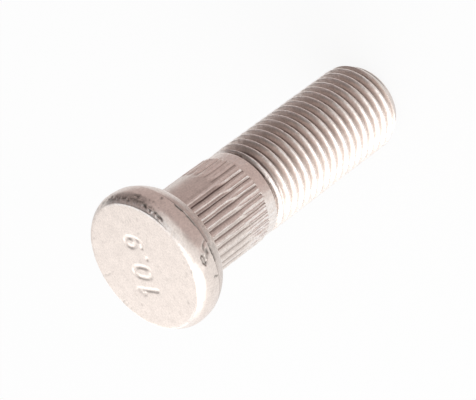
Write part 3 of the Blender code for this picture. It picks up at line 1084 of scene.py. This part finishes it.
def steel_colour(nodes, look):
    """Return the plating's colour: shade painted into hollows, and highlights painted where it looks rubbed.
    """
    painted_shading = nodes.add("ShaderNodeAttribute", attribute_name="painted_shading")
    plate = nodes.add("ShaderNodeMix", data_type="RGBA", inputs={
        "Factor": painted_shading.outputs["Fac"], "A": (*look.plate, 1.0), "B": (*look.painted_shading, 1.0)})
    raised = nodes.add("ShaderNodeMath", operation="MULTIPLY", use_clamp=True, inputs={
        0: painted_shading.outputs["Fac"], 1: -1.0})
    rub_and_sheen = nodes.add("ShaderNodeMix", data_type="RGBA", inputs={
        "Factor": raised.outputs[0], "A": plate.outputs["Result"], "B": (*look.worn_and_sheen, 1.0)})
    return rub_and_sheen.outputs["Result"]


def speck_shade(nodes, fine, patch):
    """Return the grey by which the grain and the patches multiply the colour."""
    grainy = nodes.add("ShaderNodeMapRange", inputs={
        "Value": fine.outputs["Mask"], "To Min": GRAIN_SHADES[0], "To Max": GRAIN_SHADES[1]})
    patchy = nodes.add("ShaderNodeMapRange", inputs={
        "Value": patch.outputs["Mask"], "To Min": PATCH_SHADES[0], "To Max": PATCH_SHADES[1]})
    level = nodes.add("ShaderNodeMath", operation="MULTIPLY", inputs={
        0: grainy.outputs["Result"], 1: patchy.outputs["Result"]})
    grey = nodes.add("ShaderNodeCombineColor", inputs={
        "Red": level.outputs[0], "Green": level.outputs[0], "Blue": level.outputs[0]})
    return grey.outputs["Color"]


def plated_steel(look):
    """Return the stud's material: pale plating, shade painted into hollows, painted highlights, stains in
    pits.
    """
    material = bpy.data.materials.new("plated_steel")
    material.use_nodes = True
    tree = material.node_tree
    shader = tree.nodes["Principled BSDF"]
    nodes = Nodes(tree)
    speckle = speckle_group()
    fine = nodes.add("ShaderNodeGroup", node_tree=speckle, inputs={"Scale": GRAIN_SCALE, "Amount": 1.0})
    patch = nodes.add("ShaderNodeGroup", node_tree=speckle, inputs={"Scale": PATCH_SCALE, "Amount": 1.0})
    speckled = nodes.add("ShaderNodeMix", data_type="RGBA", blend_type="MULTIPLY", inputs={
        "Factor": 1.0, "A": steel_colour(nodes, look), "B": speck_shade(nodes, fine, patch)})
    # The stains of pits and dents, and the patches of painted shade
    stain = nodes.add("ShaderNodeAttribute", attribute_name="stain")
    stained_and_shaded = nodes.add("ShaderNodeMix", data_type="RGBA", inputs={
        "Factor": stain.outputs["Fac"], "A": speckled.outputs["Result"], "B": (*look.stain, 1.0)})
    rough = nodes.add("ShaderNodeMapRange", inputs={
        "Value": fine.outputs["Mask"], "To Min": look.roughness + ROUGHNESS_SPREAD,
        "To Max": look.roughness - ROUGHNESS_SPREAD})
    bump = nodes.add("ShaderNodeBump", inputs={
        "Strength": look.grain, "Distance": GRAIN_RELIEF, "Height": fine.outputs["Relief"]})
    tree.links.new(stained_and_shaded.outputs["Result"], shader.inputs["Base Color"])
    tree.links.new(rough.outputs["Result"], shader.inputs["Roughness"])
    tree.links.new(bump.outputs["Normal"], shader.inputs["Normal"])
    shader.inputs["Metallic"].default_value = look.metallic
    return material


def seen_directly(nodes):
    """Return the output that is 1 for what the camera sees itself, in a reflection or through glass."""
    path = nodes.add("ShaderNodeLightPath")
    seen = path.outputs["Is Camera Ray"]
    for ray in ("Is Glossy Ray", "Is Transmission Ray"):
        either = nodes.add("ShaderNodeMath", operation="MAXIMUM", inputs={0: seen, 1: path.outputs[ray]})
        seen = either.outputs[0]
    return seen


def white_floor(look):
    """Return the floor's material: white to the camera and in reflections, with the stud's soft shadow."""
    material = bpy.data.materials.new("white_floor")
    material.use_nodes = True
    tree = material.node_tree
    tree.nodes.clear()
    nodes = Nodes(tree)
    seen = seen_directly(nodes)
    share = nodes.add("ShaderNodeMath", operation="MULTIPLY", inputs={0: seen, 1: FLOOR_GLOW})
    glow = nodes.add("ShaderNodeEmission", inputs={"Color": (*look.floor, 1.0), "Strength": 1.0})
    pale = [FLOOR_PAINT * part for part in look.floor]
    paint = nodes.add("ShaderNodeBsdfDiffuse", inputs={"Color": (*pale, 1.0)})
    both = nodes.add("ShaderNodeMixShader", inputs={
        0: share.outputs[0], 1: paint.outputs[0], 2: glow.outputs[0]})
    leave = nodes.add("ShaderNodeOutputMaterial")
    tree.links.new(both.outputs[0], leave.inputs["Surface"])
    return material


def matt_card(name, colour):
    """Return the material of a matt card beside the stud."""
    material = bpy.data.materials.new(name)
    material.use_nodes = True
    shader = material.node_tree.nodes["Principled BSDF"]
    shader.inputs["Base Color"].default_value = (*colour, 1.0)
    shader.inputs["Roughness"].default_value = CARD_ROUGHNESS
    shader.inputs["Specular IOR Level"].default_value = CARD_GLOSS
    return material


def white_world(look):
    """Make the backdrop white to the camera and in reflections, and an even fill light otherwise."""
    world = bpy.data.worlds.new("studio")
    bpy.context.scene.world = world
    world.use_nodes = True
    tree = world.node_tree
    tree.nodes.clear()
    nodes = Nodes(tree)
    strength = nodes.add("ShaderNodeMapRange", inputs={
        "Value": seen_directly(nodes), "To Min": look.fill, "To Max": 1.0})
    sky = nodes.add("ShaderNodeBackground", inputs={
        "Color": (*look.floor, 1.0), "Strength": strength.outputs["Result"]})
    leave = nodes.add("ShaderNodeOutputWorld")
    tree.links.new(sky.outputs[0], leave.inputs["Surface"])


def put_board(name, corners, faces, material):
    """Add a board through these corners, as part of the stage."""
    data = bpy.data.meshes.new(name)
    data.from_pydata(corners, [], faces)
    data.materials.append(material)
    board = bpy.data.objects.new(name, data)
    bpy.context.scene.collection.objects.link(board)
    return board


def put_flat(name, corners, rise, material):
    """Add a flat board over the floor, through these corners."""
    return put_board(name, [(x, y, rise) for x, y in corners], [tuple(range(len(corners)))], material)


def between(start, end, share):
    """Return the colour at this share of the way between two."""
    return [low + (high - low) * share for low, high in zip(start, end)]


def put_cards(look):
    """Add the cards that shade the stud. Only its reflections show them."""
    cards = []
    for name, tone, front, rows in SIDE_CARDS:
        bends = [(out, side, up) for out, up, back in rows for side in (front, back)]
        strips = [(2 * n, 2 * n + 1, 2 * n + 3, 2 * n + 2) for n in range(len(rows) - 1)]
        cards.append(put_board(name, bends, strips, matt_card(name, between(look.flag, look.screen, tone))))
    cards.append(put_flat("card", CARD_CORNERS, CARD_RISE, matt_card("grey_card", look.card)))
    edges = [(x, y, up) for up in (CARD_RISE, SCREEN_HEIGHT) for x, y in SCREEN_ENDS]
    cards.append(put_board("screen", edges, [(0, 1, 3, 2)], matt_card("screen", look.screen)))
    for number, (white, corners) in enumerate(EDGE_STRIPS):
        pale = matt_card("pale_card", between(look.card, (1, 1, 1), white))
        cards.append(put_flat(f"edge_strip_{number}", corners, STRIP_RISE, pale))
    for card in cards:
        card.visible_camera = False
        card.visible_shadow = False
        card.visible_diffuse = False


def put_lamp(name, place, size, power):
    """Add a square lamp that points at the stud."""
    lamp = bpy.data.lights.new(name, "AREA")
    lamp.shape = "SQUARE"
    lamp.size = size
    lamp.energy = power
    holder = bpy.data.objects.new(name, lamp)
    holder.location = place
    holder.rotation_euler = (Vector(AIM) - Vector(place)).to_track_quat("-Z", "Y").to_euler()
    bpy.context.scene.collection.objects.link(holder)


def put_camera():
    """Add the camera at the photograph's viewing angle."""
    lens = bpy.data.cameras.new("camera")
    lens.lens = CAMERA_LENS
    lens.sensor_width = CAMERA_SENSOR
    lens.clip_start = CAMERA_NEAR
    camera = bpy.data.objects.new("camera", lens)
    turn = Matrix.Rotation(pi / 2 - CAMERA_ELEVATION, 4, "X") @ Matrix.Rotation(CAMERA_ROLL, 4, "Z")
    camera.matrix_world = Matrix.Translation(CAMERA_EYE) @ turn
    bpy.context.scene.collection.objects.link(camera)
    bpy.context.scene.camera = camera


class STUD_OT_dress(bpy.types.Operator):
    """Build the stud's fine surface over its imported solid"""

    bl_idname = "stud.dress"
    bl_label = "Dress the Stud"

    def execute(self, context):
        data = stud_mesh(context.scene.stud_sizes)
        data.materials.append(plated_steel(context.scene.plating_look))
        stud = bpy.data.objects.new("steel_stud", data)
        context.scene.collection.objects.link(stud)
        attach(stud, BODY)
        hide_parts(NODE)
        return {"FINISHED"}


class STUD_OT_stage(bpy.types.Operator):
    """Set up the floor, the backdrop, the cards, the lamps and the camera"""

    bl_idname = "stud.stage"
    bl_label = "Set Up the Studio"

    def execute(self, context):
        look = context.scene.studio_look
        context.scene.view_settings.view_transform = "Standard"
        white_world(look)
        half = FLOOR_SIZE / 2
        corners = [(-half, -half), (half, -half), (half, half), (-half, half)]
        put_flat("floor", corners, 0, white_floor(look))
        put_cards(look)
        put_lamp("key", KEY_PLACE, KEY_SIZE, look.key)
        put_lamp("back", BACK_PLACE, BACK_SIZE, look.back)
        put_lamp("side", SIDE_PLACE, SIDE_SIZE, look.side)
        put_camera()
        return {"FINISHED"}


class STUD_PT_panel(bpy.types.Panel):
    """Lists the stud's sizes and looks"""

    bl_idname = "STUD_PT_panel"
    bl_label = "Wheel Stud"
    bl_space_type = "VIEW_3D"
    bl_region_type = "UI"
    bl_category = "Wheel Stud"

    def draw(self, context):
        scene = context.scene
        for group in (scene.stud_sizes, scene.plating_look, scene.studio_look):
            box = self.layout.box()
            for name in group.__annotations__:
                box.prop(group, name)
        self.layout.operator(STUD_OT_dress.bl_idname)
        self.layout.operator(STUD_OT_stage.bl_idname)


CLASSES = (StudSizes, PlatingLook, StudioLook, STUD_OT_dress, STUD_OT_stage, STUD_PT_panel)


def register():
    """Register the classes and hang the sizes and looks on the scene."""
    for entry in CLASSES:
        bpy.utils.register_class(entry)
    bpy.types.Scene.stud_sizes = PointerProperty(type=StudSizes)
    bpy.types.Scene.plating_look = PointerProperty(type=PlatingLook)
    bpy.types.Scene.studio_look = PointerProperty(type=StudioLook)


def unregister():
    """Take the properties and classes away again."""
    del bpy.types.Scene.studio_look
    del bpy.types.Scene.plating_look
    del bpy.types.Scene.stud_sizes
    for entry in reversed(CLASSES):
        bpy.utils.unregister_class(entry)


def main():
    register()
    bpy.ops.stud.dress()
    bpy.ops.stud.stage()


if __name__ == "__main__":
    main()
